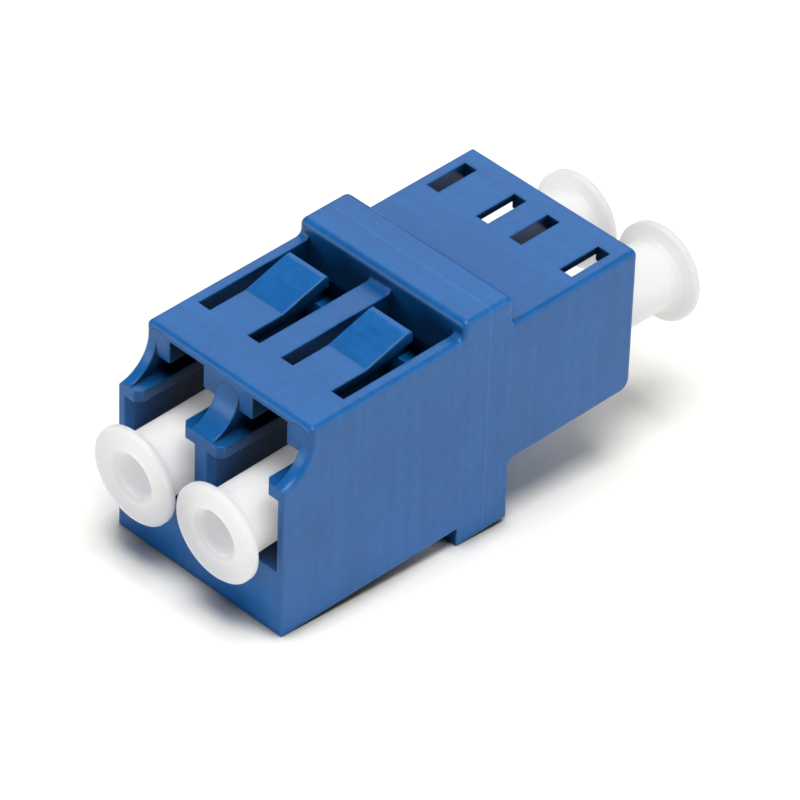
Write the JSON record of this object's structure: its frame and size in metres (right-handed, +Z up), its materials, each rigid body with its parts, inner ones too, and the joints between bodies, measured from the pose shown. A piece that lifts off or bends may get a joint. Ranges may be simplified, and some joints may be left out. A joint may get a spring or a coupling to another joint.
{
  "type": "lc duplex fibre adapter",
  "caption": "Blue moulded duplex LC fibre coupler with flange, sprung panel latches, split alignment sleeves and pull-off white dust caps in its ports.",
  "frame": {"origin": "centred across the two ports, on the plane where the fibres meet half way along the flange, level with the underside of the flange", "axes": "+X across the ports to the right seen from the front, +Y along the fibres towards the rear end, +Z up, latch side"},
  "size_m": [0.0124, 0.0336, 0.015],
  "materials": {
    "blue_plastic": "satin moulded blue PBT",
    "insert_plastic": "satin moulded blue PBT",
    "zirconia": "polished white ceramic",
    "cap_plastic": "milky white polyethylene"
  },
  "bodies": {
    "adapter": {"housing": "blue_plastic", "sleeve_retainer_left": "insert_plastic", "sleeve_retainer_right": "insert_plastic", "split_sleeve_left": "zirconia", "split_sleeve_right": "zirconia"},
    "cap_front_left": {"dust_cap_front_left": "cap_plastic"},
    "cap_front_right": {"dust_cap_front_right": "cap_plastic"},
    "cap_rear_left": {"dust_cap_rear_left": "cap_plastic"},
    "cap_rear_right": {"dust_cap_rear_right": "cap_plastic"}
  },
  "joints": [
    {"name": "pull_front_left", "type": "slide", "parent": "adapter", "child": "cap_front_left", "axis": [0, -0.9996, -0.0297], "range_m": [0, 0.014]},
    {"name": "pull_front_right", "type": "slide", "parent": "adapter", "child": "cap_front_right", "axis": [0, -0.9996, -0.0297], "range_m": [0, 0.014]},
    {"name": "pull_rear_left", "type": "slide", "parent": "adapter", "child": "cap_rear_left", "axis": [0, 0.9991, -0.0421], "range_m": [0, 0.014]},
    {"name": "pull_rear_right", "type": "slide", "parent": "adapter", "child": "cap_rear_right", "axis": [0, 0.9991, -0.0421], "range_m": [0, 0.014]}
  ]
}
